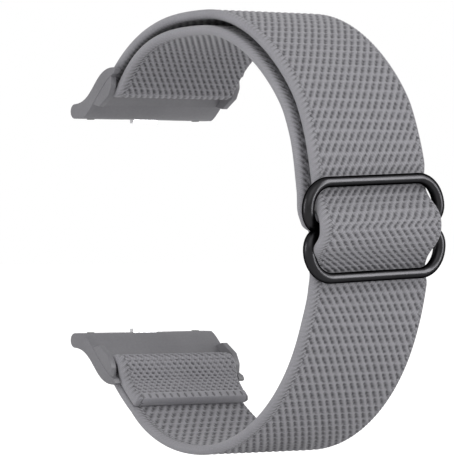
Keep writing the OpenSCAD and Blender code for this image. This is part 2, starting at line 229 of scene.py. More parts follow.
def bend(start, leaving, end, arriving, pulls):
    """The four points of a curve, from its ends, its directions there and how far each pulls."""
    return start, start + pulls[0] * leaving, end - pulls[1] * arriving, end


def on_curve(points, u):
    a, b, c, d = points
    return (1 - u) ** 3 * a + 3 * (1 - u) ** 2 * u * b + 3 * (1 - u) * u * u * c + u ** 3 * d


def curve(points, first=0.0, last=1.0):
    return on_curve(points, np.linspace(first, last, 500))


def curve_way(points, u):
    a, b, c, d = points
    w = (1 - u) ** 2 * (b - a) + 2 * (1 - u) * u * (c - b) + u * u * (d - c)
    return w / abs(w)


class Route:
    """The middle line of the whole strip, from its tail on the slider's bar to its sewn tab."""

    OUTER_LEAD = 40.5        # where the outer layer leaves the pin, in degrees round it
    INNER_LEAD = 215         # where the inner layer does
    CURVE_START = 25         # how far up and down the wall is round, in degrees
    TRAVEL = 8               # the slider's travel each way, in degrees of the wall
    FIT = 0.05               # between the webbing and what it is wrapped round, in millimetres
    PASS = 0.1               # between the webbing and the wires that it passes
    INNER_SHIFT = 0.1        # how far the inner layer's top lies beyond the outer layer's
    WRAP = 285               # how far the tail is wrapped round the bar, in degrees
    LEAD_OUT = 1.6           # from the wrapped tail out to the end of its lead
    LEAD_END = 5             # height of that end, in degrees of the wall
    LEAD_WAY = complex(0.25, 1)
    DIVE_GAP = 0.2           # from the front wires in to where the webbing starts to dive
    BEND_FROM = 0.8          # where the bottom bend starts on the way down, as a share
    BEND_TO = 0.2            # and where it ends on the way up
    TAB_JOIN = 0.8           # where the folded tab meets the lower end, as a share

    def __init__(self):
        web, loop = settings().webbing, settings().loop
        slide, lug = settings().slider, settings().lug
        half = web.thickness / MM / 2
        gap = web.layer_gap / MM
        self.half = half
        self.wall_r = loop.wall_radius / MM
        self.centre = -loop.depth / MM + self.wall_r
        self.inner_r = self.wall_r - 2 * half - gap
        self.pin = complex(-lug.pin_back / MM, lug.span / MM / 2 + lug.pin_up / MM)
        self.loop_r = lug.pin / MM / 2 + self.FIT + half
        self.wire_r = slide.wire / MM / 2
        self.front_z = slide.height / MM / 2 - self.wire_r
        self.slider_y = (self.centre - math.sqrt(self.wall_r ** 2 - self.front_z ** 2)
                         - half - self.wire_r - self.PASS)
        self.bar_r = slide.bar / MM / 2
        self.bar = complex(self.slider_y + slide.setback / MM, 0)
        self.tail_r = self.bar_r + self.FIT + half
        self.tail_leaves = np.radians(self.WRAP) * self.tail_r
        self.wave_end = math.degrees(math.asin((slide.height / MM / 2 + half) / self.wall_r))
        self.run_start = self.wave_end + self.TRAVEL + 1
        self.tab_from = self.TAB_JOIN - loop.tab / 2
        top = complex(-loop.top_place / MM, loop.top / MM)
        inner_top = top - complex(self.INNER_SHIFT, 2 * half + gap)
        bottom = complex(-loop.bottom_place / MM, -loop.bottom / MM)
        self.join(self.spans(top, inner_top, bottom))

    def spans(self, top, inner_top, bottom):
        """Every stretch of the strip, in order, as lists of points."""
        start, radius = self.CURVE_START, self.wall_r
        up = 1j * way(-start)
        out_lead, out_way = self.lead(self.OUTER_LEAD), 1j * way(self.OUTER_LEAD)
        in_lead, in_way = self.lead(self.INNER_LEAD), 1j * way(self.INNER_LEAD)
        wall, inner_wall = self.wall(radius, start), self.wall(self.inner_r, start)
        rise = bend(wall, up, top, 1, (5, 13.1))
        fall = bend(top, 1, out_lead, -out_way, (14, 9.2))
        inner_rise = bend(inner_wall, up, inner_top, 1, (4.4, 11.6))
        inner_fall = bend(inner_top, 1, in_lead, in_way, (10.65, 9.5))
        drop = bend(wall.conjugate(), up.conjugate(), bottom, 1, (11.8, 11.5))
        self.lower_rise = bend(bottom, 1, out_lead.conjugate(), -out_way.conjugate(), (14, 5.5))
        foot = self.bar.real + self.tail_r
        lead_top = complex(foot + self.LEAD_OUT, radius * math.sin(math.radians(self.LEAD_END)))
        self.tail_lead = bend(complex(foot, 0), 1j, lead_top, self.LEAD_WAY, (1.2, 1.5))
        run = self.wall(self.inner_r, self.run_start)
        slack = bend(lead_top, self.LEAD_WAY, run, 1j * way(-self.run_start), (4, 4))
        dive = math.degrees(math.asin((self.front_z - self.wire_r - self.DIVE_GAP) / radius))
        behind = complex(self.bar.real - self.tail_r - 2 * self.half - self.PASS, 0)
        wave = bend(self.wall(radius, dive), -1j * way(-dive), behind, -1j, (3.4, 3.2))
        tab = self.tab_point(self.TAB_JOIN)
        tab_way = curve_way(self.lower_rise, self.TAB_JOIN)
        fold = bend(in_lead.conjugate(), -in_way.conjugate(), tab, -tab_way, (1.2, 1.2))

        def round_wall(first, last, radius=radius):
            return arc(self.centre, radius, 180 + first, 180 + last)

        return {
            "slider_tail_loop": [arc(self.bar, self.tail_r, -self.WRAP, 0), curve(self.tail_lead)],
            "webbing_inner_slack": [curve(slack)],
            "webbing_inner_run": [
                round_wall(-self.run_start, -start, self.inner_r),
                curve(inner_rise), curve(inner_fall)],
            "webbing_upper_pin_loop": [
                arc(self.pin, self.loop_r, self.INNER_LEAD - 360, self.OUTER_LEAD)],
            "webbing_outer_run": [
                curve(fall, 1, 0), curve(rise, 1, 0), round_wall(-start, -self.run_start)],
            "webbing_upper_slack": [round_wall(-self.run_start, -self.wave_end)],
            "slider_webbing_wave": [
                round_wall(-self.wave_end, -dive), curve(wave), curve(wave, 1, 0).conjugate(),
                round_wall(dive, self.wave_end)],
            "webbing_lower_slack": [round_wall(self.wave_end, self.run_start)],
            "webbing_lower_run": [
                round_wall(self.run_start, start), curve(drop, 0, self.BEND_FROM)],
            "webbing_bottom_bend": [
                curve(drop, self.BEND_FROM, 1), curve(self.lower_rise, 0, self.BEND_TO)],
            "webbing_lower_end": [curve(self.lower_rise, self.BEND_TO, 1)],
            "webbing_lower_pin_loop": [
                arc(self.pin.conjugate(), self.loop_r, -self.OUTER_LEAD, 360 - self.INNER_LEAD)],
            "webbing_sewn_tab": [
                curve(fold), self.tab_point(np.linspace(self.TAB_JOIN, self.tab_from, 300))],
        }

    def wall(self, radius, degrees):
        return self.centre + radius * way(180 - degrees)

    def lead(self, degrees):
        return self.pin + self.loop_r * way(degrees)

    def tab_point(self, u):
        lifted = (2 * self.half + self.FIT) * 1j * curve_way(self.lower_rise, u)
        return on_curve(self.lower_rise, u) + lifted

    def join(self, spans):
        """Runs the spans into one line, with its length, its direction and where each span lies."""
        points = []
        ends = {}
        for name, parts in spans.items():
            first = len(points)
            for p in np.concatenate(parts):
                if not points or abs(p - points[-1]) > 1e-6:
                    points.append(complex(p))
            ends[name] = (max(first - 1, 0), len(points) - 1)
        self.p = np.array(points)
        steps = np.abs(np.diff(self.p))
        self.s = np.concatenate([[0], np.cumsum(steps)])
        slopes = np.gradient(self.p, self.s)
        self.t = slopes / np.abs(slopes)
        self.span = {n: (self.s[a], self.s[b]) for n, (a, b) in ends.items()}

    def at(self, s):
        """Points and directions at lengths s along the strip."""
        p, t = (np.interp(s, self.s, line.real) + 1j * np.interp(s, self.s, line.imag)
                for line in (self.p, self.t))
        return p, t / np.abs(t)

    def place(self, s):
        """The point at length s, in metres in the frame."""
        p, _ = self.at(np.array([s]))
        return Vector((0, p[0].real * MM, p[0].imag * MM))


# Node trees


def feed(tree, item, socket):
    """Feeds a socket from a Value, from another socket or from a plain value."""
    if isinstance(item, Value):
        item = item.socket
    if isinstance(item, bpy.types.NodeSocket):
        tree.links.new(item, socket)
    else:
        socket.default_value = item


def combine(tree, operation, items, clamp=False):
    """A Math node over items, each a Value or a number."""
    node = tree.nodes.new("ShaderNodeMath")
    node.operation = operation
    node.use_clamp = clamp
    for item, socket in zip(items, node.inputs):
        feed(tree, item, socket)
    return Value(tree, node.outputs[0])


class Value:
    """A number in a node tree. Sums with it add Math nodes."""

    def __init__(self, tree, socket):
        self.tree = tree
        self.socket = socket

    def math(self, operation, *others, clamp=False):
        return combine(self.tree, operation, (self, *others), clamp)

    def __add__(self, other):
        return self.math("ADD", other)

    def __sub__(self, other):
        return self.math("SUBTRACT", other)

    def __rsub__(self, other):
        return combine(self.tree, "SUBTRACT", (other, self))

    def __mul__(self, other):
        return self.math("MULTIPLY", other)

    def __truediv__(self, other):
        return self.math("DIVIDE", other)

    def __abs__(self):
        return self.math("ABSOLUTE")

    def clamp(self):
        return self.math("ADD", 0.0, clamp=True)

    def centred(self):
        """How far this is past its whole number, less a half."""
        return self - self.math("FLOOR") - 0.5

    def bell(self, width):
        """One where this is zero, and falling away over width."""
        scaled = self / width
        return (scaled * scaled * -1.0).math("EXPONENT")

    def wave(self):
        """A cosine of this many turns, from 0 to 1, and 1 at whole turns."""
        return (self * (2 * math.pi)).math("COSINE") * 0.5 + 0.5


def outputs_of(tree, node):
    """A node's outputs as Values, by name."""
    return {out.name: Value(tree, out) for out in node.outputs}


def new_tree(name, kind, inputs, outputs):
    """An empty node tree with named sockets. Each is (name, socket type, default or None)."""
    tree = bpy.data.node_groups.new(name, kind)
    for way_in, sockets in (("INPUT", inputs), ("OUTPUT", outputs)):
        for label, socket, default in sockets:
            made = tree.interface.new_socket(
                label, in_out=way_in, socket_type="NodeSocket" + socket)
            if default is not None:
                made.default_value = default
    if kind == "GeometryNodeTree":
        tree.is_modifier = True
    return tree, tree.nodes.new("NodeGroupInput"), tree.nodes.new("NodeGroupOutput")


def chain(tree, socket, kind, **values):
    """Adds a geometry node after socket and returns it."""
    node = tree.nodes.new(kind)
    tree.links.new(socket, node.inputs[0])
    for label, value in values.items():
        feed(tree, value, node.inputs[label.replace("_", " ").title()])
    return node


def close_tree(tree, socket, group_in, group_out):
    """Ends a geometry tree in Realize Instances and Set Material."""
    real = chain(tree, socket, "GeometryNodeRealizeInstances")
    painted = chain(tree, real.outputs[0], "GeometryNodeSetMaterial",
                    material=group_in.outputs["Material"])
    tree.links.new(painted.outputs[0], group_out.inputs[0])


def named(tree, name, kind="FLOAT"):
    node = tree.nodes.new("GeometryNodeInputNamedAttribute")
    node.data_type = kind
    node.inputs["Name"].default_value = name
    return node.outputs["Attribute"]


def stored(tree, socket, name, kind, value):
    """Adds a node that keeps a value on every point, and returns it."""
    node = chain(tree, socket, "GeometryNodeStoreNamedAttribute", name=name)
    node.data_type = kind
    tree.links.new(value, node.inputs["Value"])
    return node


FINGER = 0.86                # from one loop of the border's yarn to the next, in millimetres
LUMP = 0.6                   # how far those loops reach in and out
CHANNEL = 0.28               # width of the channel between two cords, as a share of a column
TILT = 0.8                   # how much deeper a channel is on one side than on the other; in the yarn's colour, how much darker that side's painted shade is
PIT_ENDS = 5.0               # how steeply a pit ends along the strip
DASH_SLANT = 1.1             # how far a slanting yarn runs along, for each step across
BORDER_EASE = 0.3            # over which the weave ends at the border, in millimetres
SEAM_WIDTH = 0.9             # width of the seam beside the border, in those steps
SEAM_DEPTH = 0.14            # its depth, in millimetres
FACE_EASE = 1.6              # how fast the relief comes in from the strip's edge


def weave_depth(lane, beat, dash, groove, pit, reach):
    """How deep a spot lies, from its lane across, its beat along and the slanting yarns' phase."""
    x = lane.centred()
    y = beat.centred()
    # In the yarn's colour this depth is painted shade, darker on one side of each channel as if lit
    # from the other
    channel = x.bell(CHANNEL) * (1 - x * TILT)
    open_part = ((reach - abs(y)) * PIT_ENDS).clamp()
    between = x.wave()
    return (channel * open_part * (dash.wave() * 0.5 + 0.5) * pit
            + between * between * groove)


def border_lumps(along):
    return (along / FINGER).wave() * LUMP - LUMP / 2


def relief_tree():
    """Sinks a woven pattern's pits into one face of a strip, and keeps the pattern's places."""
    tree, start, end = new_tree("Woven relief", "GeometryNodeTree", [
        ("Geometry", "Geometry", None), ("Face", "Float", 1.0), ("Column", "Float", 1.4),
        ("Row", "Float", 1.6), ("Diagonal", "Float", 0.86), ("Middle", "Float", 0.0),
        ("Dash", "Float", 1.3), ("Groove", "Float", 0.1), ("Pit", "Float", 0.3),
        ("Reach", "Float", 0.4), ("Half face", "Float", 10.4), ("Shift", "Float", 0.35),
        ("Material", "Material", None),
    ], [("Geometry", "Geometry", None)])
    given = outputs_of(tree, start)
    across, along, side, plain, before = (
        Value(tree, named(tree, label)) for label in ("across", "along", "side", "plain", "depth"))
    fold = abs(along - given["Middle"])
    lane = across / given["Column"] - fold / given["Row"] * given["Diagonal"]
    beat = along / given["Row"]
    dash = (across + fold * DASH_SLANT) / given["Dash"]
    depth = weave_depth(lane, beat, dash, given["Groove"], given["Pit"], given["Reach"])
    border = given["Half face"] - abs(across - given["Shift"]) + border_lumps(along)
    border = border / BORDER_EASE
    seam = border.bell(SEAM_WIDTH) * SEAM_DEPTH
    face = (side * given["Face"] * FACE_EASE - (FACE_EASE - 1)).clamp()
    sunk = (depth * border.clamp() + seam) * face * (1 - plain)
    deepest = sunk.math("MAXIMUM", before)
    kept = stored(tree, start.outputs["Geometry"], "depth", "FLOAT", deepest.socket)
    cell = tree.nodes.new("ShaderNodeCombineXYZ")
    for socket, value in zip(cell.inputs, (lane, beat, dash)):
        feed(tree, value, socket)
    kept = stored(tree, kept.outputs[0], "cell", "FLOAT_VECTOR", cell.outputs[0])
    feed(tree, (side * given["Face"]).math("GREATER_THAN", 0.0), kept.inputs["Selection"])
    outward = tree.nodes.new("ShaderNodeVectorMath")
    outward.operation = "SCALE"
    tree.links.new(named(tree, "outward", "FLOAT_VECTOR"), outward.inputs[0])
    feed(tree, sunk * -MM, outward.inputs["Scale"])
    moved = chain(tree, kept.outputs[0], "GeometryNodeSetPosition", offset=outward.outputs[0])
    close_tree(tree, moved.outputs[0], start, end)
    return tree


def wire_tree():
    """Draws a round wire along every line of a mesh. The radius is kept on the points."""
    tree, start, end = new_tree("Wire along lines", "GeometryNodeTree", [
        ("Geometry", "Geometry", None), ("Sides", "Int", 24), ("Material", "Material", None),
    ], [("Geometry", "Geometry", None)])
    lines = chain(tree, start.outputs[0], "GeometryNodeMeshToCurve")
    ring = tree.nodes.new("GeometryNodeCurvePrimitiveCircle")
    ring.inputs["Radius"].default_value = 1.0
    tree.links.new(start.outputs["Sides"], ring.inputs["Resolution"])
    tube = chain(tree, lines.outputs[0], "GeometryNodeCurveToMesh", profile_curve=ring.outputs[0],
                 scale=named(tree, "radius"), fill_caps=True)
    close_tree(tree, tube.outputs[0], start, end)
    return tree


def stitch_tree():
    """Sets copies of one stitch along a straight row."""
    tree, start, end = new_tree("Row of stitches", "GeometryNodeTree", [
        ("Geometry", "Geometry", None), ("Count", "Int", 11), ("First", "Vector", None),
        ("Step", "Vector", None), ("Turn", "Vector", None), ("Material", "Material", None),
    ], [("Geometry", "Geometry", None)])
    line = tree.nodes.new("GeometryNodeMeshLine")
    for label, name in (("Count", "Count"), ("Start Location", "First"), ("Offset", "Step")):
        tree.links.new(start.outputs[name], line.inputs[label])
    row = chain(tree, line.outputs[0], "GeometryNodeInstanceOnPoints",
                instance=start.outputs[0], rotation=start.outputs["Turn"])
    close_tree(tree, row.outputs[0], start, end)
    return tree


TREES = {}


def tree_named(name, maker):
    if name not in TREES:
        TREES[name] = maker()
    return TREES[name]


def add_nodes(obj, tree, **values):
    """Adds a tree to an object as a modifier, its inputs set before it is first evaluated."""
    mod = obj.modifiers.new(tree.name, "NODES")
    mod.node_group = tree
    for item in tree.interface.items_tree:
        key = item.name.replace(" ", "_").lower()
        if item.item_type == "SOCKET" and item.in_out == "INPUT" and key in values:
            mod[item.identifier] = values[key]


def bake(obj):
    """Turns an object's modifiers into one plain mesh."""
    graph = bpy.context.evaluated_depsgraph_get()
    made = bpy.data.meshes.new_from_object(
        obj.evaluated_get(graph), preserve_all_data_layers=True, depsgraph=graph)
    obj.modifiers.clear()
    obj.data = made
    return obj


# Materials


def new_material(name):
    """A material with a principled shader alone: the material, its tree and the shader."""
    made = bpy.data.materials.new(name)
    made.use_nodes = True
    tree = made.node_tree
    tree.nodes.clear()
    principled = tree.nodes.new("ShaderNodeBsdfPrincipled")
    output = tree.nodes.new("ShaderNodeOutputMaterial")
    tree.links.new(principled.outputs[0], output.inputs["Surface"])
    return made, tree, principled


def set_inputs(shader, **values):
    for label, value in values.items():
        shader.inputs[label.replace("_", " ").replace("Ior", "IOR")].default_value = value


def mixed(tree, factor, a, b):
    """A colour between the colours of two sockets."""
    node = tree.nodes.new("ShaderNodeMix")
    node.data_type = "RGBA"
    feed(tree, factor, node.inputs["Factor"])
    for label, item in (("A", a), ("B", b)):
        socket = [s for s in node.inputs if s.name == label and s.type == "RGBA"][0]
        tree.links.new(item, socket)
    return [s for s in node.outputs if s.type == "RGBA"][0]


def noise(tree, vector, scale, detail=3.0):
    node = tree.nodes.new("ShaderNodeTexNoise")
    feed(tree, scale, node.inputs["Scale"])
    node.inputs["Detail"].default_value = detail
    tree.links.new(vector, node.inputs["Vector"])
    return Value(tree, node.outputs["Fac"])


# What each part of the pattern adds to the bump's height, and to the pits' colour: painted shade,
# and random tone from fuzz and patch
YARN_HEIGHT = dict(crown=0.7, strand=0.3, cross=0.4, seam=0.4, parting=0.6, fuzz=0.25)
YARN_SHADOW = dict(deep=0.95, strand=0.22, cross=0.26, parting=0.75, seam=0.5, fuzz=0.34,
                   patch=0.16, least=0.05)
STRANDS_PER_FINGER = 3.0     # lines of painted shade and bump across the border for each loop of its yarn
SHADE_EASE = 0.25            # over which the colour changes at the border, in millimetres


def yarn_group():
    """Yarns on cloth: colour with painted shade where a spot lies deep, and the threads' height."""
    tree, start, end = new_tree("Yarn", "ShaderNodeTree", [
        ("Place", "Vector", None), ("Cell", "Vector", None), ("Plain", "Float", 0.0),
        ("Crown", "Color", None), ("Pit", "Color", None), ("Reach", "Float", 0.4),
        ("Border", "Float", 10.4), ("Shift", "Float", 0.35),
    ], [("Color", "Color", None), ("Height", "Float", None), ("Roughness", "Float", None)])
    given = outputs_of(tree, start)

    def parts(name):
        node = tree.nodes.new("ShaderNodeSeparateXYZ")
        tree.links.new(start.outputs[name], node.inputs[0])
        return [Value(tree, out) for out in node.outputs]

    u, v, _ = parts("Place")
    lane, beat, dash = parts("Cell")
    fuzz, patch, wander = (
        noise(tree, start.outputs["Place"], scale, detail)
        for scale, detail in ((5.0, 3.0), (0.3, 2.0), (2.2, 2.0)))
    # How deep the weave lies here: it sinks the bump and paints shade into the colour
    woven = weave_depth(lane + (fuzz - 0.5) * 0.3, beat + (wander - 0.5) * 0.5, dash, 0.16, 1.0,
                        given["Reach"])
    # Slanting strands: they raise the bump, and painted shade darkens the grooves between them
    strand = (dash * 2.0 + lane * 0.5).wave()
    inward = given["Border"] - abs(u - given["Shift"])
    border = 1 - ((inward + border_lumps(v)) / SHADE_EASE).clamp()
    slanted = v + inward * 0.5
    # Painted shade across the border: between its threads, and in the partings between its loops
    cross = ((slanted + (fuzz - 0.5) * 0.4) / FINGER * STRANDS_PER_FINGER).wave()
    parting = ((slanted + (fuzz - 0.5) * 0.2) / FINGER).wave()
    parting = parting * parting * (inward + 0.1).bell(0.8)
    plain = border.math("MAXIMUM", given["Plain"])
    # The seam beside the border: a groove in the bump, with painted shade in it
    seam = (border * (1 - border) * 4).clamp()
    deep = woven * (1 - plain)
    high, dark = YARN_HEIGHT, YARN_SHADOW
    height = ((1 - deep) * high["crown"] + strand * (1 - plain) * high["strand"]
              + cross * border * high["cross"] - seam * high["seam"]
              - parting * border * high["parting"])
    # Painted shade in the pits, between strands, along cross threads, in partings and in the seam;
    # fuzz and patch add random tone
    shadow = (deep * dark["deep"] + (1 - strand) * (1 - plain) * dark["strand"]
              + (1 - cross) * border * dark["cross"] + parting * border * dark["parting"]
              + seam * dark["seam"] + (fuzz - 0.5) * dark["fuzz"]
              + (patch - 0.5) * dark["patch"] + dark["least"]).clamp()
    height = height * (1 - high["fuzz"]) + fuzz * high["fuzz"]
    feed(tree, mixed(tree, shadow, start.outputs["Crown"], start.outputs["Pit"]),
         end.inputs["Color"])
    feed(tree, height, end.inputs["Height"])
    feed(tree, fuzz * 0.12 + deep * 0.1 + 0.68, end.inputs["Roughness"])
    return tree


def speckle_group():
    """Wear on hard finishes: spots of a lighter or darker colour, and their roughness."""
    tree, start, end = new_tree("Speckle", "ShaderNodeTree", [
        ("Place", "Vector", None), ("Base", "Color", None), ("Worn", "Color", None),
        ("Grain", "Float", 900.0), ("Amount", "Float", 0.2), ("Roughness", "Float", 0.35),
    ], [("Color", "Color", None), ("Height", "Float", None), ("Roughness", "Float", None)])
    given = outputs_of(tree, start)
    grain = noise(tree, start.outputs["Place"], given["Grain"], 4.0)
    broad = noise(tree, start.outputs["Place"], 140.0)
    worn = ((grain - 0.5) * 1.5 + (broad - 0.5) * 2.0) * given["Amount"]
    spots = (worn + given["Amount"] * 0.5).clamp()
    feed(tree, mixed(tree, spots, start.outputs["Base"], start.outputs["Worn"]),
         end.inputs["Color"])
    feed(tree, grain, end.inputs["Height"])
    rough = given["Roughness"] + (broad - 0.5) * 0.12 + (grain - 0.5) * 0.08
    feed(tree, rough, end.inputs["Roughness"])
    return tree


def place_group(tree, group, principled, strength, distance, **values):
    """Places a group and feeds the shader's colour, roughness and bump from it."""
    node = tree.nodes.new("ShaderNodeGroup")
    node.node_tree = group
    for label, value in values.items():
        value = (*value, 1) if isinstance(value, tuple) else value
        feed(tree, value, node.inputs[label.title()])
    bump = tree.nodes.new("ShaderNodeBump")
    bump.inputs["Strength"].default_value = strength
    bump.inputs["Distance"].default_value = distance
    tree.links.new(node.outputs["Height"], bump.inputs["Height"])
    tree.links.new(node.outputs["Color"], principled.inputs["Base Color"])
    tree.links.new(node.outputs["Roughness"], principled.inputs["Roughness"])
    tree.links.new(bump.outputs[0], principled.inputs["Normal"])


def border_of(web):
    """Half the width between the borders, and its middle's shift off the webbing's, in mm."""
    half = (web.width - web.selvedge - web.far_selvedge) / 2 / MM
    return half, (web.selvedge - web.far_selvedge) / 2 / MM


def cloth_material(name, crown, reach=0.47):
    made, tree, principled = new_material(name)
    place = tree.nodes.new("ShaderNodeUVMap")
    place.uv_map = "weave"
    kept = {}
    for label in ("cell", "plain"):
        kept[label] = tree.nodes.new("ShaderNodeAttribute")
        kept[label].attribute_name = label
    web = settings().webbing
    border, shift = border_of(web)
    place_group(
        tree, tree_named("Yarn", yarn_group), principled, 0.6, 0.00012,
        place=place.outputs[0], cell=kept["cell"].outputs["Vector"],
        plain=kept["plain"].outputs["Fac"], crown=tuple(crown), pit=tuple(web.dark),
        reach=reach, border=border, shift=shift)
    set_inputs(principled, Sheen_Weight=0.2, Sheen_Roughness=0.5, Specular_Ior_Level=0.2)
    return made


def hard_material(name, base, worn, metallic=0.0, grain=900.0, amount=0.2, roughness=0.35,
                  bump=0.1, **constants):
    made, tree, principled = new_material(name)
    place = tree.nodes.new("ShaderNodeTexCoord")
    place_group(
        tree, tree_named("Speckle", speckle_group), principled, bump, 0.00003,
        place=place.outputs["Object"], base=tuple(base), worn=tuple(worn), grain=grain,
        amount=amount, roughness=roughness)
    set_inputs(principled, Metallic=metallic, **constants)
    return made


MATERIALS = {}


def finish_for(slot):
    """The material for one of the record's slots, made once."""
    if slot in MATERIALS:
        return MATERIALS[slot]
    light, lug = settings().webbing.light, settings().lug
    maker, values = {
        "webbing": (cloth_material, dict(name="Woven nylon", crown=light)),
        "tab": (cloth_material, dict(name="Woven nylon tab", crown=light, reach=0.36)),
        "thread": (cloth_material, dict(name="Sewing thread", crown=settings().stitch.dye)),
        "lug_paint": (hard_material, dict(
            name="Satin paint", base=lug.paint, worn=grey(170, 2), grain=2400.0, amount=0.12,
            roughness=0.48, Specular_Ior_Level=0.2)),
        "slider_metal": (hard_material, dict(
            name="Gunmetal", base=settings().slider.metal, worn=grey(70, 2), metallic=1.0,
            grain=1800.0, amount=0.08, roughness=0.31, bump=0.03,
            Specular_Tint=(0.12, 0.12, 0.12, 1))),
        "steel": (hard_material, dict(
            name="Brushed steel", base=lug.steel, worn=grey(205), metallic=1.0, roughness=0.32)),
        "dark_screw": (hard_material, dict(
            name="Blackened steel", base=lug.screw, worn=grey(110), metallic=1.0, roughness=0.38)),
        "pad": (hard_material, dict(
            name="Moulded pad", base=lug.pad, worn=grey(80), grain=3000.0, roughness=0.62)),
    }[slot]
    MATERIALS[slot] = maker(**values)
    return MATERIALS[slot]


# Meshes


def new_object(name, mesh):
    obj = bpy.data.objects.new(name, mesh)
    bpy.context.scene.collection.objects.link(obj)
    return obj


BODY_OF = {n: b for b, nodes in frame["record"]["behaviour"]["bodies"].items() for n in nodes}


def settle(obj, slot, *nodes, body=None):
    """Rides a finished piece on its body, hides the CAD nodes it stands for. Slot is not used."""
    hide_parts(*nodes)
    if body != "blend":
        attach(obj, body or BODY_OF[nodes[0]])
    return obj


PATTERNS = {
    "outer": dict(diagonal=0.91, groove=0.11, pit=0.28, reach=0.47),
    "inner": dict(diagonal=0.76, groove=0.16, pit=0.24, reach=0.45),
    "back": dict(diagonal=0.9, groove=0.12, pit=0.24, reach=0.4),
    "tab": dict(diagonal=0.5, groove=0.04, pit=0.26, reach=0.36),
}
PATTERN_RELIEF = 0.00034     # the relief that these depths are given for, in metres
EDGE_STEPS = 5               # faces round each quarter of an edge
FACE_STEP = 0.2              # spacing across a face, in millimetres
HIDDEN_STEP = 0.9            # the same on a face that nothing shows
END_ROUND = 0.3              # rounding of a cut end, in millimetres
END_SHARE = 0.96             # how much of the thickness that rounding takes, squared
END_ROWS = np.array([0.03, 0.09, 0.17])     # rows beside a cut end, for its rounding


def profile(width, half, steps):
    """Points round the strip's section: share of the flat, and the edge's cosine and sine."""
    count, under = [int(round((width - 2 * half) / step)) for step in steps]
    quarter = np.radians(np.linspace(180, 90, EDGE_STEPS + 1))[:-1]
    share_x = np.concatenate([
        -np.ones(EDGE_STEPS), np.linspace(-1, 1, count + 1), np.ones(2 * EDGE_STEPS - 1),
        np.linspace(1, -1, under + 1), -np.ones(EDGE_STEPS - 1)])
    around, up = np.cos(quarter), np.sin(quarter)
    cosine = np.concatenate([
        around, np.zeros(count + 1), -around[::-1], -around[1:], np.zeros(under + 1),
        around[:0:-1]])
    sine = np.concatenate([
        up, np.ones(count + 1), up[::-1], -up[1:], -np.ones(under + 1), -up[:0:-1]])
    return share_x, cosine, sine


def lengths_between(s0, s1, step, cut_ends):
    """Lengths of the rows of a strip. A cut end gets a few close rows for its rounding."""
    rows = np.linspace(s0, s1, int((s1 - s0) / step) + 2)
    for cut, close in zip(cut_ends, (s0 + END_ROWS, s1 - END_ROWS)):
        if cut:
            rows = np.sort(np.concatenate([rows, close]))
    return rows


def store(mesh, label, data, kind="FLOAT", domain="POINT", field="value"):
    """Keeps one value for each point or edge of a mesh."""
    made = mesh.attributes.new(label, kind, domain)
    data = np.ascontiguousarray(data, bool if kind == "BOOLEAN" else np.float32)
    made.data.foreach_set(field, data.ravel())


def strip_mesh(name, route, s0, s1, shape, steps, cut_ends):
    """A closed strip along the route, between two lengths, with the widths and forms of shape."""
    half = route.half
    web, slide = settings().webbing, settings().slider
    share_x, cosine, sine = profile(web.width / MM, half, steps)
    rows = lengths_between(s0, s1, web.step / MM, cut_ends)
    p, t = route.at(rows)
    right = -1j * t
    thin = np.ones(len(rows))
    for at_end, end in zip(cut_ends, (rows - s0, s1 - rows)):
        if at_end:
            near = np.clip(end / END_ROUND, 0, 1)
            thin = thin * np.sqrt(1 - (1 - near) ** 2 * END_SHARE)
    low, high = shape.sides(rows)
    wide = ((high + low) / 2 - half)[:, None]
    x = wide * share_x + (high - low)[:, None] / 2 + half * cosine * np.ones(len(rows))[:, None]
    ridge = shape.ridge(rows)[:, None] * np.clip(sine, 0, 1) ** 2
    n = (half * sine[None, :] + ridge) * thin[:, None]
    n = n + shape.curl(rows, x)
    y = p.real[:, None] + n * right.real[:, None]
    z = p.imag[:, None] + n * right.imag[:, None]
    z = z + shape.lean(rows)[:, None] * (x * math.tan(slide.lean) - slide.drop / MM)
    mesh = loft(name, np.stack([x, y, z], axis=-1) * MM, cut_ends)
    edge = half * (np.pi / 2 - np.arcsin(np.abs(sine))) * np.sign(share_x)
    places = {
        "across": share_x * (web.width / MM / 2 - half) + edge,
        "along": shape.gathered(rows)[:, None],
        "side": sine,
        "plain": shape.plain(rows)[:, None]}
    for label, data in places.items():
        places[label] = np.broadcast_to(data, x.shape)
        store(mesh, label, places[label])
    outward = np.stack([
        np.broadcast_to(cosine, x.shape), sine * right.real[:, None],
        sine * right.imag[:, None]], axis=-1)
    store(mesh, "outward", outward, "FLOAT_VECTOR", field="vector")
    corner = np.zeros(len(mesh.loops), np.int32)
    mesh.loops.foreach_get("vertex_index", corner)
    layer = mesh.uv_layers.new(name="weave")
    uv = np.stack([places["across"].reshape(-1), places["along"].reshape(-1)], axis=-1)[corner]
    layer.data.foreach_set("uv", uv.astype(np.float32).ravel())
    return mesh


def loft(name, points, cut_ends):
    """A closed mesh over rows of points. The rims of ends that aren't cut are marked sharp."""
    rows, count = points.shape[:2]
    i = np.arange(rows - 1)[:, None] * count
    k = np.arange(count)[None, :]
    k1 = (k + 1) % count
    quads = np.stack([i + k, i + count + k, i + count + k1, i + k1], axis=-1).reshape(-1, 4)
    last = (rows - 1) * count
    caps = [list(range(count)), list(range(last + count - 1, last - 1, -1))]
    mesh = bpy.data.meshes.new(name)
    mesh.from_pydata(points.reshape(-1, 3).tolist(), [], quads.tolist() + caps)
    mesh.shade_smooth()
    sharp = np.zeros(len(mesh.edges), bool)
    ends = np.zeros(len(mesh.edges) * 2, np.int32)
    mesh.edges.foreach_get("vertices", ends)
    ends = ends.reshape(-1, 2)
    for first, cut in zip((0, last), cut_ends):
        if not cut:
            sharp |= ((ends >= first) & (ends < first + count)).all(axis=1)
    store(mesh, "sharp_edge", sharp, "BOOLEAN", "EDGE")
    return mesh


def smooth_step(x):
    x = np.clip(x, 0, 1)
    return x * x * (3 - 2 * x)


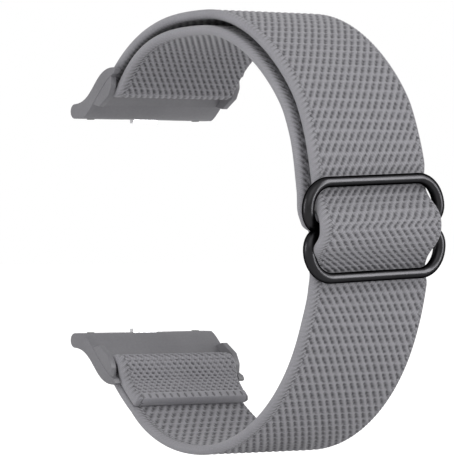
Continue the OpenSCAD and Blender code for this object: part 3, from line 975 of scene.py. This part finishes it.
def eased(s, first, last, rise, fall):
    """One between two lengths along the strip, eased in over rise and out over fall."""
    return smooth_step((s - first) / rise) * smooth_step((last - s) / fall)


def passed(s, span):
    """How far s has come through a span, from 0 to 1."""
    return smooth_step((s - span[0]) / (span[1] - span[0]))


class Shape:
    """What changes along the strip: its two sides, its lean, and the tab's ridge and plain end."""

    RIDGE = 0.26             # height of the ridge over the tab's sewn end, in millimetres
    RIDGE_WIDTH = 1.7
    GATHER = 0.6             # extra rows for each row, where the webbing bunches up in the slider
    GATHER_FROM = -1.3       # from the slider's middle, along the strip
    GATHER_LENGTH = 8.9
    TAIL_OPENS = 1.3         # from where the tail leaves the bar, back to where it widens
    TAIL_OPENING = 3         # length over which it widens
    TAIL_CURL = 0.55         # how far its widened edges stand off the slider's necks
    UPPER_FAR = 0.55         # share of the fullness on the far side above the slider
    LOWER_NEAR = 0.45        # share of the fullness on the near side below the slider
    SPREAD_AT = 1.2          # from the slider's middle to the middle of the near spread
    SPREAD_FAR = 0.12        # share of the spread on the far side
    BULGE = 0.35             # further widening beside the near wire
    BULGE_AT = 3.2           # from the slider's middle to that bulge
    BULGE_REACH = 3          # half its length
    UPPER_EASE = 15          # over which the widening round the upper pin comes and goes
    LOWER_EASE = 13          # the same before the lower pin
    TAB_EASE = 20            # and after it, towards the tab
    RING_EASE = 3            # over which the fullness comes and goes beside the slider

    def __init__(self, route):
        web = settings().webbing
        self.half_width = web.width / MM / 2
        self.flare = web.flare / MM
        self.spread = web.spread / MM
        self.fullness = web.fullness / MM
        self.tail_leaves = route.tail_leaves
        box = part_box("slider_tail_loop")
        self.narrow = (box[1].x - box[0].x) / MM / 2
        self.span = route.span
        self.middle = sum(route.span["slider_webbing_wave"]) / 2

    def sides(self, s):
        """How far the near and the far edge lie from the middle."""
        opened = smooth_step((s - self.tail_leaves + self.TAIL_OPENS) / self.TAIL_OPENING)
        tail = self.narrow + (self.half_width - self.narrow) * opened
        start, end = self.span["slider_webbing_wave"]
        reach = (end - start) / 2
        past = s - start - reach
        lower_pin = self.span["webbing_lower_pin_loop"]
        upper_end = self.span["webbing_upper_pin_loop"][1]
        inner_flare = opened * eased(s, 0, upper_end + self.UPPER_EASE, 1, self.UPPER_EASE)
        pin_flare = eased(s, lower_pin[0] - self.LOWER_EASE, lower_pin[1] + self.TAB_EASE,
                          self.LOWER_EASE, self.TAB_EASE)
        flare = np.maximum(inner_flare, pin_flare) * self.flare
        upper = eased(s, upper_end, start + 2, self.UPPER_EASE, self.RING_EASE) * self.UPPER_FAR
        lower = eased(s, end - 2.6, lower_pin[0], self.RING_EASE, self.LOWER_EASE)
        near = self.spread * smooth_step(1.1 - 1.1 * (abs(past - self.SPREAD_AT) / reach))
        near = near + self.BULGE * smooth_step(1 - abs(past - self.BULGE_AT) / self.BULGE_REACH)
        far = self.SPREAD_FAR * self.spread * smooth_step(1 - abs(past) / reach)
        return (tail + np.maximum(flare, lower * self.fullness * self.LOWER_NEAR) + near,
                tail + np.maximum(flare, np.maximum(upper, lower) * self.fullness) + far)

    def curl(self, s, x):
        """How far a widened edge of the tail stands inward, clear of the slider's necks."""
        leaves = self.tail_leaves
        reach = eased(s, leaves - self.TAIL_OPENS, leaves + 7, 1, 4)[:, None]
        return self.TAIL_CURL * reach * np.clip((abs(x) - self.narrow + 0.6) / 0.8, 0, 1)

    def lean(self, s):
        """How far the slider's lean reaches, from 0 on the runs to 1 on the slider."""
        tail = self.span["webbing_inner_slack"]
        near = passed(s, self.span["webbing_upper_slack"])
        near = near * (1 - passed(s, self.span["webbing_lower_slack"]))
        return np.where(s < tail[1], 1 - passed(s, tail), near)

    def ridge(self, s):
        end = self.span["webbing_sewn_tab"][1]
        return self.RIDGE * smooth_step((s - end + self.RIDGE_WIDTH + 0.2) / 0.5)

    def gathered(self, s):
        """Length along the weave. Its rows lie closer where the webbing bunches up."""
        return s + self.GATHER * np.clip(s - self.middle - self.GATHER_FROM, 0, self.GATHER_LENGTH)

    def plain(self, s):
        end = self.span["webbing_sewn_tab"][1]
        return smooth_step((s - end + self.RIDGE_WIDTH) / 0.25)


def weave_inputs(shape, kind, face, depth, finish):
    web = settings().webbing
    scale = web.relief / PATTERN_RELIEF * depth
    values = dict(PATTERNS[kind])
    for label in ("groove", "pit"):
        values[label] = values[label] * scale
    column, row = {
        "outer": (web.outer_column, web.outer_row), "inner": (web.inner_column, web.inner_row),
        "back": (web.back_column, web.outer_row), "tab": (web.tab_column, web.tab_row)}[kind]
    half_face, shift = border_of(web)
    return dict(values, face=face, column=column / MM, row=row / MM, dash=web.dash / MM,
                middle=0.0 if kind == "inner" else shape.gathered(shape.middle),
                half_face=half_face, shift=shift, material=finish_for(finish))


def woven_piece(route, node, right="outer", left="back", depth=(1, 1), shown=(True, True),
                cut_ends=(False, False), finish="webbing"):
    """One stretch of the webbing, woven on both faces. shown picks the fine mesh."""
    s0, s1 = route.span[node]
    steps = [FACE_STEP if fine else HIDDEN_STEP for fine in shown]
    shape = Shape(route)
    mesh = strip_mesh(node + "_woven", route, s0, s1, shape, steps, cut_ends)
    obj = new_object(node + "_woven", mesh)
    tree = tree_named("Woven relief", relief_tree)
    for kind, face, deep in ((right, 1.0, depth[0]), (left, -1.0, depth[1])):
        add_nodes(obj, tree, **weave_inputs(shape, kind, face, deep, finish))
    bake(obj)
    for label in ("across", "along", "side", "outward", "depth"):
        obj.data.attributes.remove(obj.data.attributes[label])
    return obj


def path_object(name, lines):
    """A mesh of lines. Each is (points, one radius or one for each point), in millimetres."""
    verts, edges, radii = [], [], []
    for points, radius in lines:
        first = len(verts)
        verts += [tuple(c * MM for c in point) for point in points]
        edges += [(first + i, first + i + 1) for i in range(len(points) - 1)]
        each = radius if hasattr(radius, "__len__") else [radius] * len(points)
        radii += [r * MM for r in each]
    mesh = bpy.data.meshes.new(name)
    mesh.from_pydata(verts, edges, [])
    store(mesh, "radius", radii)
    return new_object(name, mesh)


def wire_object(name, lines, material, sides):
    obj = path_object(name, lines)
    add_nodes(obj, tree_named("Wire along lines", wire_tree), sides=sides, material=material)
    return smoothed(bake(obj), WIRE_SHARP)


def smoothed(obj, degrees):
    """Shades an object smooth, apart from edges that turn by more than an angle."""
    obj.data.shade_smooth()
    obj.data.set_sharp_from_angle(angle=math.radians(degrees))
    return obj


WELD = 2e-6                  # points of a CAD mesh nearer than this are joined, in metres
FLAT_ANGLE = 0.5             # faces that turn by less are joined, in degrees
BEVEL_ANGLE = 35             # edges that turn by more are rounded
LUG_SHARP = 40               # edges of a lug that turn by more are shaded sharp
WIRE_SHARP = 50              # and those of a wire


def refined_copy(node, name, edge, material):
    """A CAD node's shape with its edges rounded and its faces smooth."""
    mesh = frame["nodes"][node].data.copy()
    mesh.materials.clear()
    mesh.materials.append(material)
    work = bmesh.new()
    work.from_mesh(mesh)
    bmesh.ops.remove_doubles(work, verts=work.verts, dist=WELD)
    bmesh.ops.dissolve_limit(
        work, angle_limit=math.radians(FLAT_ANGLE), verts=work.verts, edges=work.edges)
    for face in work.faces:
        face.material_index = 0
    work.to_mesh(mesh)
    work.free()
    obj = new_object(name, mesh)
    bevel = obj.modifiers.new("Edge", "BEVEL")
    bevel.width = edge
    bevel.segments = 3
    bevel.limit_method = "ANGLE"
    bevel.angle_limit = math.radians(BEVEL_ANGLE)
    bevel.use_clamp_overlap = True
    bevel.harden_normals = False
    return smoothed(bake(obj), LUG_SHARP)


def dress(node, slot):
    """Gives a CAD node that stays its own material."""
    obj = frame["nodes"][node]
    for holder in obj.material_slots:
        holder.material = finish_for(slot)


# Operators


class StrapStep:
    bl_options = {"REGISTER", "UNDO"}


class STRAP_OT_stage(StrapStep, bpy.types.Operator):
    """Sets the camera, the soft lights, the white surroundings and the floor"""
    bl_idname = "strap.stage"
    bl_label = "Stage"

    def execute(self, context):
        scene = context.scene
        values = settings().stage
        scene.view_settings.view_transform = "Standard"
        azimuth = math.radians(EYE[0])
        forward = Vector((math.sin(azimuth), math.cos(azimuth), 0))
        right = Vector((math.cos(azimuth), -math.sin(azimuth), 0))
        camera = bpy.data.cameras.new("Camera")
        camera.sensor_fit = "VERTICAL"
        camera.sensor_height = camera.sensor_width
        camera.lens = FOCAL_PIXELS * camera.sensor_width / FRAME_SIZE[1]
        target = right * AIM[0] + Vector((0, 0, AIM[1]))
        scene.camera = self.aimed("Camera", camera, forward * -EYE[1], target)
        self.surroundings(scene, values)
        for label, place, size, watts in (
            ("Key", (-0.35, -0.6, 0.52), (0.7, 0.7), values.key),
            ("Fill", (-0.75, -0.1, 0.1), (0.6, 0.6), values.key * 0.36),
            ("Rim", (0.6, -0.5, 0.25), (0.6, 0.6), values.key * 0.42),
            ("Gloss strip right", (0.52, -0.72, 0.25), (0.2, 1.0), values.strip),
            ("Gloss strip left", (-0.85, 0.25, 0.1), (0.14, 0.8), values.strip * 0.3),
        ):
            lamp = bpy.data.lights.new(label, "AREA")
            lamp.shape = "RECTANGLE"
            lamp.size, lamp.size_y = size
            lamp.energy = watts
            obj = self.aimed(label, lamp, place, Vector(LAMP_AIM))
            obj.visible_camera = False
            obj.visible_diffuse = not label.startswith("Gloss")
        mesh = bpy.data.meshes.new("Floor")
        low = CAD_BOX[0].z - values.drop
        mesh.from_pydata([(x * FLOOR_REACH, y * FLOOR_REACH, low)
                          for x, y in ((-1, -1), (1, -1), (1, 1), (-1, 1))], [], [(0, 1, 2, 3)])
        mesh.materials.append(self.paper(values))
        floor = new_object("Floor", mesh)
        return {"FINISHED"}

    def aimed(self, name, data, place, target):
        """A camera or lamp at a place, turned towards a target."""
        obj = new_object(name, data)
        obj.location = place
        obj.rotation_euler = (target - obj.location).to_track_quat("-Z", "Y").to_euler()
        return obj

    def surroundings(self, scene, values):
        world = bpy.data.worlds.new("Surroundings")
        scene.world = world
        world.use_nodes = True
        tree = world.node_tree
        tree.nodes.clear()
        seen = self.seen(tree)
        background = tree.nodes.new("ShaderNodeBackground")
        background.inputs["Color"].default_value = (1, 1, 1, 1)
        feed(tree, seen * (1 - values.sky) + values.sky, background.inputs["Strength"])
        output = tree.nodes.new("ShaderNodeOutputWorld")
        tree.links.new(background.outputs[0], output.inputs["Surface"])

    def seen(self, tree):
        """One for rays that show the surroundings: to the camera, in gloss and through glass."""
        path = outputs_of(tree, tree.nodes.new("ShaderNodeLightPath"))
        camera, glossy, glass = (path["Is %s Ray" % kind]
                                 for kind in ("Camera", "Glossy", "Transmission"))
        return camera.math("MAXIMUM", glossy).math("MAXIMUM", glass)

    def paper(self, values):
        made, tree, principled = new_material("Paper floor")
        set_inputs(principled, Emission_Color=(1, 1, 1, 1), Base_Color=(*values.floor, 1),
                   Roughness=1.0, Specular_Ior_Level=0.0)
        feed(tree, self.seen(tree) * values.glow, principled.inputs["Emission Strength"])
        return made


class STRAP_OT_runs(StrapStep, bpy.types.Operator):
    """Weaves the long runs of the webbing and its turns round the cross pins"""
    bl_idname = "strap.runs"
    bl_label = "Webbing runs"

    def execute(self, context):
        route = Route()
        for node, right, depth, shown in (
            ("webbing_inner_run", "inner", (1, 1), (True, False)),
            ("webbing_outer_run", "outer", (1, 1), (True, False)),
            ("webbing_lower_run", "outer", (1, 1), (True, True)),
            ("webbing_lower_end", "outer", (1, 1), (True, True)),
            ("webbing_upper_pin_loop", "inner", (1, 0.2), (True, False)),
            ("webbing_lower_pin_loop", "outer", (1, 0.2), (True, False)),
        ):
            piece = woven_piece(route, node, right=right, depth=depth, shown=shown)
            settle(piece, "webbing", node)
        return {"FINISHED"}


class STRAP_OT_slacks(StrapStep, bpy.types.Operator):
    """Weaves the stretches that take up the slider's travel, and the flexing bottom"""
    bl_idname = "strap.slacks"
    bl_label = "Webbing slacks"

    def execute(self, context):
        route = Route()
        for node, right, first, second in (
            ("webbing_inner_slack", "inner", "slider", "band"),
            ("webbing_upper_slack", "outer", "band", "slider"),
            ("webbing_lower_slack", "outer", "slider", "band"),
            ("webbing_bottom_bend", "outer", "band", "band_lower"),
        ):
            piece = woven_piece(route, node, right=right)
            settle(piece, "webbing", node, body="blend")
            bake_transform(piece)
        return {"FINISHED"}


class STRAP_OT_slider_webbing(StrapStep, bpy.types.Operator):
    """Weaves the wave through the slider and the tail that is sewn round its bar"""
    bl_idname = "strap.slider_webbing"
    bl_label = "Webbing in the slider"

    def execute(self, context):
        route = Route()
        node = "slider_webbing_wave"
        settle(woven_piece(route, node), "webbing", node)
        node = "slider_tail_loop"
        piece = woven_piece(route, node, right="inner", depth=(0.6, 0.2), cut_ends=(True, False))
        settle(piece, "webbing", node)
        return {"FINISHED"}


class STRAP_OT_tab(StrapStep, bpy.types.Operator):
    """Weaves the tab that folds back from the lower pin, with the ridge over its sewn end"""
    bl_idname = "strap.tab"
    bl_label = "Sewn tab"

    def execute(self, context):
        node = "webbing_sewn_tab"
        piece = woven_piece(Route(), node, right="tab", shown=(True, False),
                            cut_ends=(False, True), finish="tab")
        settle(piece, "webbing", node)
        return {"FINISHED"}


SUNK = 0.02                  # how far a stitch is sunk into the webbing, in millimetres
TAIL_SEAM = 0.65             # where the tail's stitches lie on its lead, as a share
TAB_SEAM = 0.75              # from the tab's sewn end to its stitches, in millimetres


class STRAP_OT_stitches(StrapStep, bpy.types.Operator):
    """Sews the two rows of stitches, on the tail and on the tab"""
    bl_idname = "strap.stitches"
    bl_label = "Stitches"

    def stitch_mesh(self):
        """One low arched stitch that runs along Y, 6 by 6 faces and two ends."""
        values = settings().stitch
        arch, sides = 7, 6
        verts, faces = [], []
        for i in range(arch):
            u = -1 + 2 * i / (arch - 1)
            lift = values.thread * 0.75 * (1 - u ** 4) - values.thread * 0.35
            radius = values.thread * (0.5 if abs(u) < 1 else 0.3)
            for j in range(sides):
                a = 2 * math.pi * j / sides
                verts.append((math.cos(a) * radius * 1.5, u * values.length / 2,
                              lift + math.sin(a) * radius))
        for i in range(arch - 1):
            for j in range(sides):
                j1 = (j + 1) % sides
                faces.append((i * sides + j, i * sides + j1,
                              (i + 1) * sides + j1, (i + 1) * sides + j))
        faces.append(tuple(reversed(range(sides))))
        faces.append(tuple((arch - 1) * sides + j for j in range(sides)))
        mesh = bpy.data.meshes.new("Stitch")
        mesh.from_pydata(verts, [], faces)
        work = bmesh.new()
        work.from_mesh(mesh)
        bmesh.ops.recalc_face_normals(work, faces=work.faces)
        work.to_mesh(mesh)
        work.free()
        mesh.shade_smooth()
        layer = mesh.uv_layers.new(name="weave")
        for loop in mesh.loops:
            co = mesh.vertices[loop.vertex_index].co
            layer.data[loop.index].uv = (co.x / MM, co.y / MM)
        return mesh

    def sew(self, route, node, width, s, lift=0.0, tilt=0.0, drop=0.0):
        """Sews a row across the strip at length s, raised by lift and leaning by tilt."""
        pitch = settings().stitch.pitch
        obj = new_object(node + "_sewn", self.stitch_mesh())
        count = int(width / pitch)
        p, t = route.at(np.array([s]))
        out = -1j * t[0]
        base = p[0] + out * (route.half + lift - SUNK)
        first = Vector((-(count - 1) / 2 * pitch, base.real * MM, base.imag * MM - drop))
        first.z += first.x * math.tan(tilt)
        angle = math.atan2(out.imag, out.real) - math.pi / 2
        add_nodes(
            obj, tree_named("Row of stitches", stitch_tree), count=count, first=first,
            step=Vector((pitch, 0, pitch * math.tan(tilt))),
            turn=Vector((angle, 0, 0)), material=finish_for("thread"))
        settle(bake(obj), "thread", node)

    def execute(self, context):
        route = Route()
        slide = settings().slider
        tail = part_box("slider_tail_loop")
        lead_left = abs(np.diff(curve(route.tail_lead, TAIL_SEAM, 1))).sum()
        on_tail = route.span["slider_tail_loop"][1] - lead_left
        self.sew(route, "slider_tail_stitches", tail[1].x - tail[0].x, on_tail,
                 tilt=slide.lean, drop=slide.drop)
        on_tab = route.span["webbing_sewn_tab"][1] - TAB_SEAM
        self.sew(route, "tab_stitches", settings().webbing.width, on_tab, lift=Shape.RIDGE)
        return {"FINISHED"}


MERGE = 0.45                 # how far the slider's two rings run into each other, in wire radii
NECK_INSETS = (0.5, 0.3, 0.1)    # where a ring's end thins towards the bar, in millimetres
QUARTER = np.radians(np.linspace(0, 90, 28))


class STRAP_OT_slider(StrapStep, bpy.types.Operator):
    """Bends the slider's wire: two rings that meet at the necks, and the centre bar"""
    bl_idname = "strap.slider"
    bl_label = "Slider"

    def execute(self, context):
        route = Route()
        values = settings().slider
        wire = route.wire_r
        side_x = settings().webbing.width / MM / 2 + values.gap / MM + wire
        corner = values.corner / MM
        side_z = route.front_z - corner
        neck = side_z - (1 - MERGE) * wire
        lean = math.asin(values.setback / MM / neck)
        y = route.slider_y
        half, radii = [], []
        drawn = wire + values.plating / MM
        swell = values.swell / MM / 2
        for inset in NECK_INSETS:
            half.append((side_x - neck * math.cos(lean) - inset, route.bar.real,
                         side_z - neck - 0.5 * inset))
            radii.append(wire - (wire - route.bar_r) * inset * 1.6)
        for a in QUARTER:
            reach = neck * (1 - math.sin(a))
            grown = swell * math.sin(a)
            half.append((side_x - reach * math.cos(lean) - grown,
                         y + reach * math.sin(lean) + grown, side_z - neck * math.cos(a)))
            radii.append(drawn + grown)
        for a in QUARTER[1:]:
            grown = swell * math.cos(a)
            half.append((side_x - corner + corner * math.cos(a) - grown, y + grown,
                         side_z + corner * math.sin(a)))
            radii.append(drawn + grown)
        ring = half + [(-px, py, pz) for px, py, pz in reversed(half)]
        radii = radii + radii[::-1]
        reach = side_x - neck * math.cos(lean) + route.bar_r
        bar = [(x, route.bar.real, 0) for x in np.linspace(-reach, reach, 12)]
        c, s = math.cos(values.lean), math.sin(values.lean)
        turned = [
            ([(px * c - pz * s, py, px * s + pz * c - values.drop / MM) for px, py, pz in points],
             radius)
            for points, radius in (
                (ring, radii), ([(px, py, -pz) for px, py, pz in ring], radii),
                (bar, route.bar_r))]
        obj = wire_object("slider_wire", turned, finish_for("slider_metal"), sides=32)
        settle(obj, "slider_metal", "slider_frame")
        return {"FINISHED"}


class STRAP_OT_lugs(StrapStep, bpy.types.Operator):
    """Finishes the two lugs with rounded edges and satin paint"""
    bl_idname = "strap.lugs"
    bl_label = "Lugs"

    def execute(self, context):
        edge = settings().lug.edge
        for end in ("upper", "lower"):
            node = end + "_lug_body"
            obj = refined_copy(node, end + "_lug_painted", edge, finish_for("lug_paint"))
            settle(obj, "lug_paint", node)
        return {"FINISHED"}


SPRING_WIRE = 0.1            # radius of a latch spring's wire, in millimetres
SPRING_TURNS = 5
SPRING_POINTS = 120


class STRAP_OT_latches(StrapStep, bpy.types.Operator):
    """Dresses the pins, latches, plates, screws and pads, and winds the latch springs"""
    bl_idname = "strap.latches"
    bl_label = "Pins and latches"

    def execute(self, context):
        for end in ("upper", "lower"):
            for part, slot in (
                ("cross_pin", "steel"), ("latch", "steel"), ("retainer_plate", "steel"),
                ("retainer_screws", "dark_screw"), ("friction_pads", "pad"),
            ):
                dress(end + "_" + part, slot)
            self.springs(end)
        return {"FINISHED"}

    def springs(self, end):
        node = end + "_latch_springs"
        low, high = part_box(node)
        outer = (high.y - low.y) / MM / 2
        radius = outer - SPRING_WIRE
        bottom, top = low.z / MM + SPRING_WIRE, high.z / MM - SPRING_WIRE
        full = SPRING_TURNS * 2 * math.pi
        lines = []
        for middle in (low.x / MM + outer, high.x / MM - outer):
            points = [
                (middle + radius * math.cos(a), (low.y + high.y) / MM / 2 + radius * math.sin(a),
                 bottom + (top - bottom) * a / full)
                for a in np.linspace(0, full, SPRING_POINTS)]
            lines.append((points, SPRING_WIRE))
        obj = wire_object(end + "_wound_springs", lines, finish_for("steel"), sides=8)
        settle(obj, "steel", node)
        joints = {joint["name"]: joint for joint in frame["record"]["behaviour"]["joints"]}
        press = joints[end + "_latch_press"]
        keep = 1 - press["range_m"][1] / (high.z - low.z)
        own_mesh(obj)


class STRAP_PT_panel(bpy.types.Panel):
    """Lists the steps and the sizes of the strap"""
    bl_idname = "STRAP_PT_panel"
    bl_label = "Woven strap"
    bl_space_type = "VIEW_3D"
    bl_region_type = "UI"
    bl_category = "Strap"

    def draw(self, context):
        for step in STEPS:
            self.layout.operator(step.bl_idname)
        for label in StrapSettings.__annotations__:
            group = getattr(context.scene.strap, label)
            box = self.layout.box()
            for name in group.__annotations__:
                box.prop(group, name)


class StrapSettings(bpy.types.PropertyGroup):
    webbing: held(WebbingSettings, "Webbing", "The webbing")
    loop: held(LoopSettings, "Loop", "The strap's loop")
    slider: held(SliderSettings, "Slider", "The slider")
    lug: held(LugSettings, "Lugs", "The two lugs")
    stitch: held(StitchSettings, "Stitches", "The stitches")
    stage: held(StageSettings, "Stage", "Light and floor")


GROUPS = (WebbingSettings, LoopSettings, SliderSettings, LugSettings, StitchSettings,
          StageSettings, StrapSettings)
STEPS = (STRAP_OT_stage, STRAP_OT_runs, STRAP_OT_slacks, STRAP_OT_slider_webbing, STRAP_OT_tab,
         STRAP_OT_stitches, STRAP_OT_slider, STRAP_OT_lugs, STRAP_OT_latches)


def register():
    for group in (*GROUPS, *STEPS, STRAP_PT_panel):
        bpy.utils.register_class(group)
    bpy.types.Scene.strap = held(StrapSettings, "Strap", "Sizes and colours of the strap")


def unregister():
    del bpy.types.Scene.strap
    for group in reversed((*GROUPS, *STEPS, STRAP_PT_panel)):
        bpy.utils.unregister_class(group)


def main():
    register()
    for step in STEPS:
        area, name = step.bl_idname.split(".")
        getattr(getattr(bpy.ops, area), name)()


if __name__ == "__main__":
    main()
